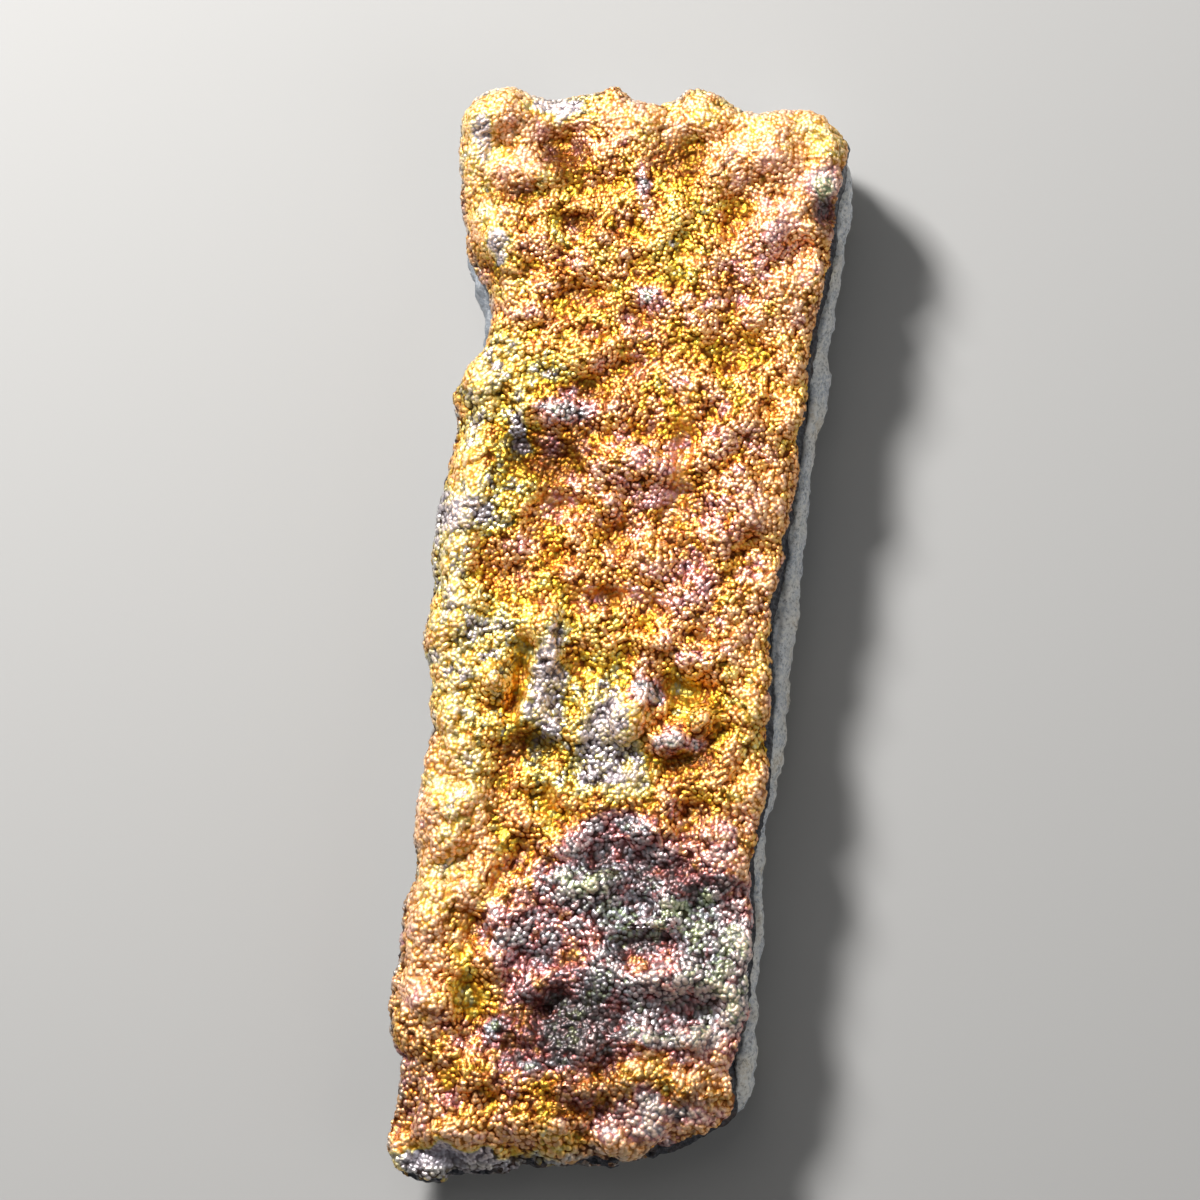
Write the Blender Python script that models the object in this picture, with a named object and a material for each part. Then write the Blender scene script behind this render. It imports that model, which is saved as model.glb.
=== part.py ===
"""A loose slab of iridescent goethite, lying on its back on a small flat spot.

The slab is two natural pieces. A crust of dark goethite carries the lumpy, colourful face, and it
sits on a pale layer of chalcedony that shows as a band beyond the crust's right edge.
x runs across the slab, y along it and z up from the flat spot that it rests on.
"""

import math

import bmesh
import bpy
from mathutils import Vector, noise

# Driving dimensions, in metres
SLAB_LENGTH = 0.1222
SEAM_HEIGHT = 0.0078
SEAM_RISE_ACROSS = 0.075
SEAM_RISE_ALONG = 0.012
CRUST_THICKNESS = 0.0046
THINNEST = 0.0013
RELIEF_SCALE = 1.25
GAP = 0.0003

# The outlines below are drawn this many units long, so a drawing unit is a millimetre at true size
DRAWN_LENGTH = 122.2
UNIT = SLAB_LENGTH / DRAWN_LENGTH
HALF_WIDTH, HALF_LENGTH = 20.6, 58.5

# The rim of the crust's face, in drawing units, each side as (x, y) points
CRUST_LEFT = [
    (-18.2, -59.6), (-18.9, -56.8), (-17.4, -54.2), (-17.4, -51.0), (-19.2, -47.0), (-20.1, -41.0),
    (-19.6, -35.0), (-18.9, -28.5), (-19.6, -22.0), (-18.6, -16.5), (-18.9, -9.0), (-20.4, -4.5),
    (-20.8, 3.0), (-20.7, 15.0), (-20.1, 20.0), (-20.5, 24.0), (-19.0, 27.0), (-17.1, 30.2),
    (-17.2, 33.5), (-19.0, 37.0), (-21.2, 40.5), (-22.4, 48.0), (-23.6, 54.4),
]
CRUST_RIGHT = [
    (19.0, -51.2), (18.0, -46.5), (18.9, -42.0), (18.9, -33.0), (18.2, -28.0), (17.7, -24.0), (18.5, -17.0),
    (18.2, -9.0), (17.6, -4.0), (16.8, 1.0), (17.4, 7.0), (17.9, 17.0), (18.1, 28.0), (18.4, 36.0),
    (19.2, 41.0), (19.5, 46.0), (19.0, 48.0), (19.6, 52.0), (19.6, 55.8),
]
CRUST_BOTTOM = [
    (-18.2, -59.6), (-15.9, -61.2), (-13.0, -61.4), (-9.6, -60.0), (-6.0, -59.3), (-3.4, -58.6),
    (1.0, -57.9), (4.6, -57.2), (7.2, -57.4), (10.0, -56.2), (14.2, -54.0), (16.4, -52.6), (19.0, -51.2),
]
CRUST_TOP = [
    (-23.6, 54.4), (-21.6, 56.8), (-19.6, 58.2), (-17.2, 58.7), (-15.4, 57.5), (-12.2, 57.8),
    (-9.0, 59.0), (-7.6, 58.5), (-6.5, 59.8), (-5.0, 58.4), (-2.6, 58.0), (0.2, 58.6), (1.4, 60.2),
    (5.6, 59.5), (7.8, 58.0), (10.4, 57.9), (12.6, 58.8), (16.8, 58.5), (19.6, 55.8),
]

# The widest outline of the pale layer: it stands out past the crust on the right and at the left notch
LAYER_LEFT = [
    (-15.5, -59.0), (-17.6, -55.5), (-16.6, -51.5), (-18.6, -46.0), (-19.2, -40.0), (-18.0, -28.5),
    (-18.6, -21.0), (-17.8, -15.5), (-18.2, -8.0), (-19.9, -2.0), (-19.8, 16.0), (-19.4, 23.0),
    (-18.0, 27.5), (-17.7, 30.6), (-18.7, 33.8), (-20.2, 37.0), (-20.8, 41.0), (-21.6, 48.0), (-22.2, 53.0),
]
LAYER_RIGHT = [
    (20.1, -50.6), (20.1, -46.0), (19.8, -38.0), (19.6, -31.0), (19.1, -26.0), (18.6, -21.0),
    (18.7, -17.0), (19.4, -13.5), (19.6, -6.0), (19.2, -1.0), (19.5, 4.0), (19.2, 8.0), (19.5, 12.0),
    (19.2, 17.0), (19.4, 21.0), (19.6, 25.0), (20.2, 28.5), (19.6, 33.0), (19.7, 37.0), (20.4, 42.0),
    (20.5, 47.5), (20.1, 51.5), (19.2, 54.8),
]
LAYER_BOTTOM = [
    (-15.5, -59.0), (-10.0, -58.6), (-5.0, -57.8), (1.0, -57.0), (7.0, -56.0), (12.0, -54.6),
    (16.6, -52.8), (20.1, -50.6),
]
LAYER_TOP = [
    (-22.2, 53.0), (-20.0, 56.0), (-15.0, 56.4), (-9.0, 57.2), (-2.0, 56.6), (3.0, 57.8), (8.0, 56.6),
    (14.0, 57.2), (17.4, 56.8), (19.2, 54.8),
]

# Broad forms of the face: x, y, half length, half width, turn in degrees, rise. A minus rise is a hollow
SWELLS = [
    (-19.0, 54.5, 5.0, 4.0, 10, 1.2), (-12.0, 48.5, 5.0, 2.6, 10, 0.9), (-7.0, 50.5, 6.0, 1.6, 58, 0.9),
    (12.5, 53.5, 6.0, 3.6, 0, 0.8), (13.0, 45.0, 5.0, 4.6, 0, 0.8), (-1.5, 49.0, 2.0, 3.6, -12, 0.8),
    (6.0, 56.5, 3.2, 2.2, 20, 0.8), (-4.5, 41.5, 4.0, 2.4, 0, 0.6), (-16.8, 41.5, 2.4, 2.4, 0, 0.9),
    (-11.0, 41.0, 3.0, 2.2, 20, 0.6), (-13.5, 33.0, 3.4, 2.4, 15, 0.7), (-8.0, 28.8, 5.2, 2.6, 5, 1.2),
    (-3.0, 30.5, 3.4, 2.2, 30, 0.7), (-8.0, 22.6, 5.6, 2.4, -8, 1.6), (-17.5, 25.0, 3.4, 4.0, 20, 0.9),
    (11.0, 36.0, 6.0, 4.0, -20, 0.5), (12.0, 22.5, 4.6, 3.0, 25, 0.9), (13.5, 14.0, 4.6, 5.0, 10, 0.7),
    (-17.0, 11.5, 3.6, 4.6, 12, 1.1), (-11.0, 7.0, 3.2, 2.2, -20, 1.3), (-5.0, 9.6, 4.4, 2.2, 15, 0.9),
    (2.6, 6.8, 3.0, 3.4, -30, 0.9), (-4.5, 0.4, 4.6, 2.0, 0, 0.8), (-17.0, 0.0, 3.6, 6.4, 0, 0.9),
    (-6.6, -4.5, 1.9, 6.4, 4, 1.9), (3.0, -1.6, 5.0, 1.8, -4, 1.0), (8.5, -2.4, 4.4, 1.7, -16, 1.3),
    (-2.0, -11.0, 1.9, 5.0, -8, 1.2), (3.2, -11.0, 3.0, 6.6, -14, 1.8), (-16.0, -13.5, 3.4, 6.0, 6, 0.9),
    (-15.0, -24.0, 4.6, 4.6, 0, 1.1), (-14.8, -33.5, 4.0, 4.2, 10, 0.9), (-16.0, -43.0, 3.4, 4.0, 0, 0.9),
    (12.0, -9.5, 4.6, 2.4, 22, 0.8), (13.0, -17.5, 5.4, 3.0, 0, 1.0), (5.5, -22.4, 7.4, 1.8, 6, 1.1),
    (1.2, -28.0, 5.4, 2.0, 4, 1.5), (12.0, -27.5, 5.4, 1.5, 2, 0.8), (10.5, -32.0, 7.4, 1.5, 14, 1.2),
    (12.0, -37.6, 6.4, 1.9, 4, 1.2), (2.6, -36.0, 3.6, 1.8, 25, 0.9), (-8.0, -36.0, 2.8, 4.4, -20, 0.9),
    (13.6, -43.4, 4.6, 2.0, 8, 0.9), (4.5, -44.8, 4.0, 1.8, 12, 0.9), (-6.5, -50.5, 2.8, 2.6, 0, 0.8),
    (-14.0, -53.5, 3.4, 3.2, 0, 0.7), (-13.5, -57.8, 5.6, 2.0, -8, 0.9), (8.5, -55.0, 7.6, 1.7, 16, 0.8),
    (15.5, -50.2, 4.6, 1.6, 20, 0.7), (-1.0, -55.8, 4.6, 1.6, 4, 0.6),
]
HOLLOWS = [
    (-12.0, 52.2, 3.8, 2.2, -8, -1.9), (-17.6, 46.4, 4.4, 1.7, 4, -1.5), (-9.4, 44.0, 4.4, 1.3, 10, -1.4),
    (-18.4, 38.2, 2.8, 1.8, -10, -1.6), (2.6, 53.0, 3.2, 2.8, 0, -1.5), (18.6, 47.8, 2.6, 1.4, 4, -2.4),
    (-12.4, 38.0, 3.0, 1.6, 0, -0.8), (5.6, 20.0, 1.3, 5.6, 2, -1.1), (-8.6, 17.6, 6.0, 2.4, -12, -2.4),
    (-6.0, 25.8, 4.4, 1.2, 10, -1.1), (-6.4, 13.4, 5.0, 1.0, -6, -0.9), (-5.8, 6.6, 3.4, 1.2, 10, -1.0),
    (-1.0, 3.2, 6.0, 1.0, -4, -1.1), (-9.8, -7.5, 1.3, 6.0, 4, -1.9), (-6.6, -14.2, 3.4, 2.2, -24, -1.9),
    (8.2, -6.2, 3.8, 1.9, -12, -1.3), (9.4, -14.2, 3.2, 1.3, 18, -1.6), (-4.8, -19.4, 1.3, 4.6, 16, -1.5),
    (-7.4, -26.0, 1.3, 5.2, -30, -1.2), (-11.8, -35.8, 1.3, 5.0, -24, -1.1), (7.0, -25.4, 7.0, 1.2, 5, -1.5),
    (6.8, -34.2, 4.2, 1.1, 14, -1.9), (8.0, -30.2, 5.4, 0.9, 6, -0.8), (-2.0, -42.2, 4.2, 3.0, 20, -2.1),
    (-11.0, -42.2, 1.7, 3.4, 14, -1.9), (15.4, -40.6, 4.2, 1.0, 8, -1.0), (9.6, -46.2, 5.4, 1.2, 6, -1.0),
    (2.6, -52.6, 5.6, 1.9, 8, -1.6), (-10.4, -46.5, 1.4, 3.4, 0, -1.0), (-17.0, -51.6, 2.2, 2.6, 0, -0.9),
    (15.8, -15.0, 1.8, 1.2, 0, -1.0), (-13.0, -9.4, 3.6, 1.2, -20, -1.0), (-13.6, -18.4, 4.2, 1.2, 12, -0.9),
]
KNOBS = [
    (0.4, 36.2, 1.5, 1.4, 0, 0.9), (0.2, 17.6, 3.3, 3.4, 20, 1.6), (-2.4, 13.0, 1.6, 1.6, 0, 0.9),
    (2.2, 12.0, 1.5, 1.4, 0, 0.9), (-11.4, -6.6, 2.0, 3.0, -8, 1.5), (7.8, -12.0, 2.5, 1.5, 10, 1.5),
    (-1.6, -38.6, 1.7, 1.5, 0, 1.2), (-7.2, -45.0, 1.8, 1.6, 0, 1.1), (-2.0, -48.2, 2.5, 1.7, 12, 1.3),
    (6.6, -49.6, 1.5, 1.5, 0, 1.5), (0.4, -50.2, 1.7, 1.9, 0, 1.3), (3.6, -50.6, 1.4, 1.6, 0, 1.1),
    (-19.0, 57.0, 1.8, 1.6, 0, 0.7), (-12.4, -20.2, 2.0, 1.8, 0, 1.0), (-19.0, -22.0, 1.8, 1.8, 0, 1.1),
    (8.0, -18.2, 2.2, 1.5, 0, 1.1), (-2.6, -24.4, 2.2, 1.6, 20, 1.0), (-11.4, -57.2, 2.0, 1.6, 0, 0.7),
]
STEEP_SIDE = 0.55  # a form's lower side, towards -y, is this much narrower than its upper side
LUMP_SIZES = [(5.4, 1.1), (3.1, 1.15)]  # width and rise of the grape-like lumps over the whole face
LUMP_LEVEL = 0.9  # their mean height, which is taken off again

# Cells of the face's grid, and points round the pale layer
ACROSS, ALONG = 32, 90
LAYER_POINTS = 148

# Broken wall of the crust: how far it spreads outwards on its way down to the seam. A minus draws it in
WALL_SPREAD = {"left": -0.3, "right": 0.5, "bottom": 1.1, "top": -0.25}
# How deep the face rolls down at each side, and over what width
EDGE_ROLL = {"left": (2.6, 4.0), "right": (0.5, 1.6), "bottom": (2.4, 4.6), "top": (1.5, 3.0)}
CORNER_ROLL = (-18.5, -60.0, 11.0, 1.7)  # the smooth lobe of the lower left corner: x, y, reach, drop

# Rings of the pale layer, from its top rim to the flat spot: share of the height, inset, roughness
LAYER_RINGS = [
    (1.0, 0.70, 0.0), (0.80, 0.05, 0.35), (0.54, 0.0, 0.55), (0.30, 0.7, 0.80), (0.155, 2.4, 1.20),
    (0.075, 5.0, 1.60), (0.028, 8.2, 1.80), (0.0, 10.6, 1.60),
]
END_STRETCH = 1.5  # the rings draw in this much more at the two ends than at the sides


def start_clean():
    """Removes what a new Blender file holds."""
    for old in list(bpy.data.objects):
        bpy.data.objects.remove(old)


def along(points, share):
    """The point at a share, 0 to 1, of the way along a run of points."""
    steps = [math.dist(a, b) for a, b in zip(points, points[1:])]
    left = share * sum(steps)
    for (a, b), step in zip(zip(points, points[1:]), steps):
        if left <= step:
            return Vector(a).lerp(Vector(b), left / step)
        left -= step
    return Vector(points[-1])


def patch(u, v):
    """The face's plan, in drawing units: the four sides blended across and along."""
    left, right = along(CRUST_LEFT, v), along(CRUST_RIGHT, v)
    bottom, top = along(CRUST_BOTTOM, u), along(CRUST_TOP, u)
    corners = (
        (1 - u) * (1 - v) * Vector(CRUST_BOTTOM[0]) + u * (1 - v) * Vector(CRUST_BOTTOM[-1])
        + (1 - u) * v * Vector(CRUST_TOP[0]) + u * v * Vector(CRUST_TOP[-1])
    )
    return (1 - u) * left + u * right + (1 - v) * bottom + v * top - corners


def seam(x, y):
    """Height of the plane where the crust meets the pale layer, in metres, from drawing units."""
    return SEAM_HEIGHT + UNIT * (SEAM_RISE_ACROSS * x + SEAM_RISE_ALONG * y)


def form_height(x, y, form, round_top):
    """What one form adds at a place. It is steeper on its lower side, as the real ledges are."""
    centre_x, centre_y, half_length, half_width, turn, rise = form
    angle = math.radians(turn)
    dx, dy = x - centre_x, y - centre_y
    lengthwise = (dx * math.cos(angle) + dy * math.sin(angle)) / half_length
    crosswise = (dy * math.cos(angle) - dx * math.sin(angle)) / half_width
    if crosswise < 0 and rise > 0:
        crosswise /= STEEP_SIDE
    nearness = 1 - lengthwise**2 - crosswise**2
    if nearness <= 0:
        return 0.0
    return rise * (math.sqrt(nearness) if round_top else nearness**1.5)


def lumps(x, y):
    """Grape-like lumps: each is highest over its own seed point and meets its neighbours in a crease."""
    total = 0.0
    for width, rise in LUMP_SIZES:
        nearest = noise.voronoi(Vector((x / width, y / width, 0.37 * width)))[0][0]
        total += rise * max(0.0, 1 - (nearest / 0.75) ** 2)
    return total


def edge_drop(u, v, x, y):
    """How far the face rolls down near its rim and over the smooth corner lobe, in drawing units."""
    width, length = 2 * HALF_WIDTH, 2 * HALF_LENGTH
    reach = {"left": u * width, "right": (1 - u) * width, "bottom": v * length, "top": (1 - v) * length}
    drop = 0.0
    for side, (deep, wide) in EDGE_ROLL.items():
        drop += deep * max(0.0, 1 - reach[side] / wide) ** 2
    corner_x, corner_y, corner_reach, corner_drop = CORNER_ROLL
    away = math.hypot(x - corner_x, y - corner_y) / corner_reach
    return drop + corner_drop * max(0.0, 1 - away)


def face_height(u, v, x, y):
    """Height of the crust's face, in metres, over a place in drawing units."""
    broad = sum(form_height(x, y, form, False) for form in SWELLS + HOLLOWS)
    round_knobs = sum(form_height(x, y, form, True) for form in KNOBS)
    relief = broad + round_knobs + lumps(x, y) - LUMP_LEVEL - edge_drop(u, v, x, y)
    thickness = CRUST_THICKNESS + UNIT * RELIEF_SCALE * relief
    return seam(x, y) + max(thickness, THINNEST)


def side_of(u, v):
    """The side of the face that a rim point belongs to."""
    nearest = {"left": u, "right": 1 - u, "bottom": v, "top": 1 - v}
    return min(nearest, key=nearest.get)


def rough(x, y, z, size):
    """A steady, uneven value from -1 to 1 for a broken surface."""
    return noise.noise(Vector((x, y, z)) / size)


def close_with(mesh, edges):
    """One flat face across a ring of edges."""
    bmesh.ops.contextual_create(mesh, geom=edges)


def extruded_ring(mesh, edges, place):
    """Extrudes a ring of edges and puts each new point where place says. Gives the new ring."""
    made = bmesh.ops.extrude_edge_only(mesh, edges=edges)["geom"]
    for vert in (item for item in made if isinstance(item, bmesh.types.BMVert)):
        vert.co = place(vert)
    return [item for item in made if isinstance(item, bmesh.types.BMEdge) and item.is_boundary]


def add_object(name, mesh, material):
    """Makes the object of a finished bmesh."""
    bmesh.ops.recalc_face_normals(mesh, faces=mesh.faces)
    data = bpy.data.meshes.new(name)
    mesh.to_mesh(data)
    mesh.free()
    data.materials.append(material)
    made = bpy.data.objects.new(name, data)
    bpy.context.scene.collection.objects.link(made)
    return made


def stone(name, colour, roughness, metallic):
    """A plain finish for one of the two minerals."""
    material = bpy.data.materials.new(name)
    material.use_nodes = True
    shader = material.node_tree.nodes["Principled BSDF"]
    shader.inputs["Base Color"].default_value = (*colour, 1.0)
    shader.inputs["Roughness"].default_value = roughness
    shader.inputs["Metallic"].default_value = metallic
    return material


def wall_place(spread, share):
    """The rule that takes a point of the broken wall down, by a share of the way left to the seam."""
    def place(vert):
        x, y = vert.co.x / UNIT, vert.co.y / UNIT
        uneven = 1 + 0.7 * rough(x, y, share * 9, 2.3)
        x += vert[spread].x * uneven * 0.5
        y += vert[spread].y * uneven * 0.5
        return Vector((x * UNIT, y * UNIT, vert.co.z + (seam(x, y) - vert.co.z) * share))
    return place


def make_crust():
    """The goethite crust: a lumpy face, a broken wall all round and a flat underside on the seam."""
    mesh = bmesh.new()
    spread = mesh.verts.layers.float_vector.new("spread")
    bmesh.ops.create_grid(mesh, x_segments=ACROSS, y_segments=ALONG, size=0.5)
    first_u, first_v = 1 / ACROSS, 1 / ALONG
    for vert in mesh.verts:
        u, v = vert.co.x + 0.5, vert.co.y + 0.5
        plan = patch(u, v)
        if vert.is_boundary:
            inner = patch(min(max(u, first_u), 1 - first_u), min(max(v, first_v), 1 - first_v))
            outwards = (plan - inner).normalized() * WALL_SPREAD[side_of(u, v)]
            vert[spread] = (outwards.x, outwards.y, 0.0)
        vert.co = (plan.x * UNIT, plan.y * UNIT, face_height(u, v, plan.x, plan.y))
    rim = [edge for edge in mesh.edges if edge.is_boundary]
    middle = extruded_ring(mesh, rim, wall_place(spread, 0.5))
    foot = extruded_ring(mesh, middle, wall_place(spread, 1.0))
    close_with(mesh, foot)
    return add_object("goethite_crust", mesh, stone("goethite", (0.62, 0.42, 0.16), 0.35, 0.85))


def layer_outline():
    """The pale layer's widest outline as one closed run of points, anticlockwise from the lower left."""
    return (
        LAYER_BOTTOM[:-1] + LAYER_RIGHT[:-1] + LAYER_TOP[::-1][:-1] + LAYER_LEFT[::-1]
    )


def ring_point(plan, share, inset, roughness):
    """A point of one ring of the pale layer, over a place on its outline."""
    x = plan.x * (1 - inset / HALF_WIDTH)
    y = plan.y * (1 - inset * END_STRETCH / HALF_LENGTH)
    height = (seam(x, y) - GAP) * share
    if 0 < share < 1:
        height *= 1 + 0.3 * rough(plan.x, plan.y, 12 * share, 6.0)
    x += roughness * (rough(plan.x, plan.y, 31 * share, 7.0) + 0.5 * rough(plan.x, plan.y, 31 * share, 2.7))
    y += roughness * (rough(plan.x, plan.y, 57 * share, 7.0) + 0.5 * rough(plan.x, plan.y, 57 * share, 2.7))
    return Vector((x * UNIT, y * UNIT, height))


def make_pale_layer():
    """The chalcedony under the crust, from the seam down to the flat spot that the slab rests on."""
    outline = layer_outline()
    mesh = bmesh.new()
    plan = mesh.verts.layers.float_vector.new("plan")
    ring = bmesh.ops.create_circle(mesh, segments=LAYER_POINTS, radius=1.0)["verts"]
    for step, vert in enumerate(ring):
        place = along(outline, step / LAYER_POINTS)
        vert[plan] = (place.x, place.y, 0.0)
        vert.co = ring_point(place, *LAYER_RINGS[0])
    edges = list(mesh.edges)
    close_with(mesh, edges)
    for ring_spec in LAYER_RINGS[1:]:
        edges = extruded_ring(mesh, edges, lambda vert: ring_point(vert[plan], *ring_spec))
    close_with(mesh, edges)
    return add_object("pale_layer", mesh, stone("chalcedony", (0.72, 0.72, 0.68), 0.5, 0.0))


def centre_on_origin(pieces):
    """Moves the pieces together, so that the middle of their box is over the origin."""
    corners = [vert.co for piece in pieces for vert in piece.data.vertices]
    low = Vector(map(min, zip(*corners)))
    high = Vector(map(max, zip(*corners)))
    for piece in pieces:
        for vert in piece.data.vertices:
            vert.co -= Vector(((low.x + high.x) / 2, (low.y + high.y) / 2, low.z))


start_clean()
centre_on_origin([make_crust(), make_pale_layer()])
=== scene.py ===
# %% [markdown]
# A slab of iridescent goethite
#
# Goethite is a dark iron oxide. On this slab it grew as a crust of tiny beads, and a film thinner
# than a soap bubble's gives them their gold, pink, lilac and silver. Under the crust lies a pale,
# grainy layer of chalcedony. We dress the two solids of the frame, one at a time.

# %% Load the frame
import math
import bmesh
import bpy
import numpy as np
from mathutils import Matrix, Vector, noise
from mathutils.bvhtree import BVHTree
from mathutils.kdtree import KDTree


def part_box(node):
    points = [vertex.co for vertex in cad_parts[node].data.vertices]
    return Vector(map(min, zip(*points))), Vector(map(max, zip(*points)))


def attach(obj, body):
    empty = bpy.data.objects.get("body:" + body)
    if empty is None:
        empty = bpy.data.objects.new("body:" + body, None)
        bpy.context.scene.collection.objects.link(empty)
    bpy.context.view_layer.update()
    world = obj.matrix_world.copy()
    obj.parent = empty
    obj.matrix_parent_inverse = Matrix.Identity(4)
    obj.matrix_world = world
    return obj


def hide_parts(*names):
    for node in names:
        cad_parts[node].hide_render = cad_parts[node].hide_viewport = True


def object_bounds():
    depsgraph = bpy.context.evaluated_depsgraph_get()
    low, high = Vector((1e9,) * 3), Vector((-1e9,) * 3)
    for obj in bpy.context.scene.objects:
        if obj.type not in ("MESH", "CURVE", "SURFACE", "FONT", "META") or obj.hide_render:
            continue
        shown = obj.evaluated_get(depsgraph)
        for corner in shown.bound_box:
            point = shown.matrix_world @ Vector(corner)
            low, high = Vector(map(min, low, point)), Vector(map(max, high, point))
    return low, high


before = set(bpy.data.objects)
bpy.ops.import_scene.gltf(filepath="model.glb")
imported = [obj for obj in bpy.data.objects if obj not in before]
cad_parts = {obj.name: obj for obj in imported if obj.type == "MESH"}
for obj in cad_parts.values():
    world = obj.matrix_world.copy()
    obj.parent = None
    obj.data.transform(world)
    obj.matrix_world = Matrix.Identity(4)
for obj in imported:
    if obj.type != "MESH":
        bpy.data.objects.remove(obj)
noise.seed_set(1)  # without a seed, vector noise starts from the clock and differs from run to run
cad_low, cad_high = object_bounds()
MM = 0.001
print("CAD size in mm:", [round(side / MM, 1) for side in cad_high - cad_low])

# %% [markdown]
# The places of the slab's lumps and colours were measured from the slab's own middle, across and
# along it. In the frame that middle is a little off the origin, because the origin is under the
# middle of the whole box.

# %% Places on the slab
SLAB_MIDDLE = Vector((1.45, 1.15, 0.0)) * MM


def slab_coordinates(points):
    """Frame points in metres, as mm from the slab's middle."""
    return (points - np.array(SLAB_MIDDLE)) / MM


# %% [markdown]
# The crust starts from the frame's own solid, so its outline and its big lumps are already right.
# A frame mesh is loose triangles: we merge its points, pair the triangles into quads, let a Subdivision
# Surface round the facets off, and cut every quad into a fine grid. Sculpting by hand would do it too,
# but would leave nothing to read.

# %% Helpers that read and write the points of a mesh
def mesh_array(mesh, kind):
    """The place, co, or the normal of every point of a mesh, one row each."""
    values = np.zeros(len(mesh.vertices) * 3, np.float32)
    mesh.vertices.foreach_get(kind, values)
    return values.reshape(-1, 3)


def attribute_array(mesh, name):
    """A number that every point of a mesh carries."""
    values = np.zeros(len(mesh.vertices), np.float32)
    mesh.attributes[name].data.foreach_get("value", values)
    return values


def store_attribute(mesh, name, values):
    """Keeps a number for every point, for the materials to read."""
    layer = mesh.attributes.get(name) or mesh.attributes.new(name, "FLOAT", "POINT")
    layer.data.foreach_set("value", np.asarray(values, np.float32))


def link(name, data):
    """Puts a mesh or a light in the scene, at the origin."""
    made = bpy.data.objects.new(name, data)
    bpy.context.scene.collection.objects.link(made)
    return made


def subdivided(mesh, name, levels):
    """The mesh as a Subdivision Surface rounds it, with nothing left live."""
    rough = link(name, mesh)
    rounding = rough.modifiers.new("round", "SUBSURF")
    rounding.levels = levels
    rounding.render_levels = levels
    depsgraph = bpy.context.evaluated_depsgraph_get()
    fine = bpy.data.meshes.new_from_object(rough.evaluated_get(depsgraph))
    bpy.data.objects.remove(rough)
    fine.name = name
    return fine


# %% Merge the crust's solid and count rings in from its foot
GRID_CUTS = 4
UNDERSIDE_NORMAL = -0.95  # faces that look down this straight are the underside
RING_SHARES = (1.0, 1.0, 0.55)  # how broken the crust is on each ring, from its foot upwards
work = bmesh.new()
work.from_mesh(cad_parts["goethite_crust"].data)
bmesh.ops.remove_doubles(work, verts=work.verts, dist=1e-6)
underside = [face for face in work.faces if face.normal.z < UNDERSIDE_NORMAL]
bmesh.ops.delete(work, geom=underside, context="FACES")
broken = work.verts.layers.float.new("broken")
ring_number = work.verts.layers.int.new("ring_number")
ring = {vert for vert in work.verts if vert.is_boundary}
for number, share in enumerate(RING_SHARES, 1):
    for vert in ring:
        vert[broken], vert[ring_number] = share, number
    ring = {edge.other_vert(vert) for vert in ring for edge in vert.link_edges}
    ring = {vert for vert in ring if vert[ring_number] == 0}
bmesh.ops.join_triangles(
    work, faces=work.faces, angle_face_threshold=math.pi, angle_shape_threshold=math.pi
)
upright = [edge for edge in work.edges if {vert[ring_number] for vert in edge.verts} in ({1, 2}, {2, 3})]
bmesh.ops.subdivide_edges(work, edges=upright, cuts=1)
crust_mesh = bpy.data.meshes.new("crust")
work.to_mesh(crust_mesh)
work.free()
crust_mesh = subdivided(crust_mesh, "crust", 1)
work = bmesh.new()
work.from_mesh(crust_mesh)
bmesh.ops.subdivide_edges(work, edges=work.edges, cuts=GRID_CUTS, use_grid_fill=True)
work.to_mesh(crust_mesh)
work.free()
print("crust:", len(crust_mesh.vertices), "points,", len(crust_mesh.polygons), "faces")

# %% [markdown]
# Goethite crusts are lumps on lumps, down to beads half a millimetre wide. Each lump is a dome over a
# seed point, and neighbours meet in a crease. That is what a Voronoi pattern gives: the distance to the
# nearest seed. We push the points along their normals twice, by the lumps here and by the clusters and
# beads later, with the new normals. The broken wall gets upright columns instead, because goethite grows
# as fibres that stand across the crust.

# %% How far the lumps and the broken wall stand out
HALF_SLAB = 61 * MM
LUMPS = [(4.4 * MM, 0.80 * MM), (2.4 * MM, 0.10 * MM)]  # width and height
LUMPS_AT_TOP_END, LUMPS_AT_BOTTOM_END = 0.65, 1.45  # share of those heights
DOME_REACH = 0.8  # from a lump's top to where its dome ends, in lump widths
MEAN_DOME = 0.36
COLUMN_WIDTH, COLUMN_SQUEEZE, COLUMN_RISE = 0.55 * MM, 0.12, 0.16 * MM
CHIP_WIDTH, CHIP_RISE = 1.8 * MM, 0.30 * MM


def dome(point, width):
    """From 1 over a seed point down to 0 in the crease between two."""
    nearest = noise.voronoi(point / width)[0][0]
    return max(0.0, 1 - (nearest / DOME_REACH) ** 2)


def lump_push(point):
    """How far the crust's face stands out at a point because of its lumps, in metres."""
    down = (HALF_SLAB - point.y) / (2 * HALF_SLAB)
    growth = LUMPS_AT_TOP_END + (LUMPS_AT_BOTTOM_END - LUMPS_AT_TOP_END) * down
    return growth * sum(rise * (dome(point, width) - MEAN_DOME) for width, rise in LUMPS)


def wall_push(point):
    """How far the broken wall stands out: narrow upright columns, chipped here and there."""
    column = noise.noise(Vector((point.x, point.y, COLUMN_SQUEEZE * point.z)) / COLUMN_WIDTH)
    return COLUMN_RISE * column + CHIP_RISE * noise.noise(point / CHIP_WIDTH)


print("lump widths in mm:", [round(width / MM, 1) for width, _ in LUMPS])

# %% [markdown]
# On the left and at the two ends the beads roll over the rim, so the broken wall starts lower there than
# on the right. Its upper edge is jagged all round: noise shifts the share of broken stone at each point.

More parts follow.
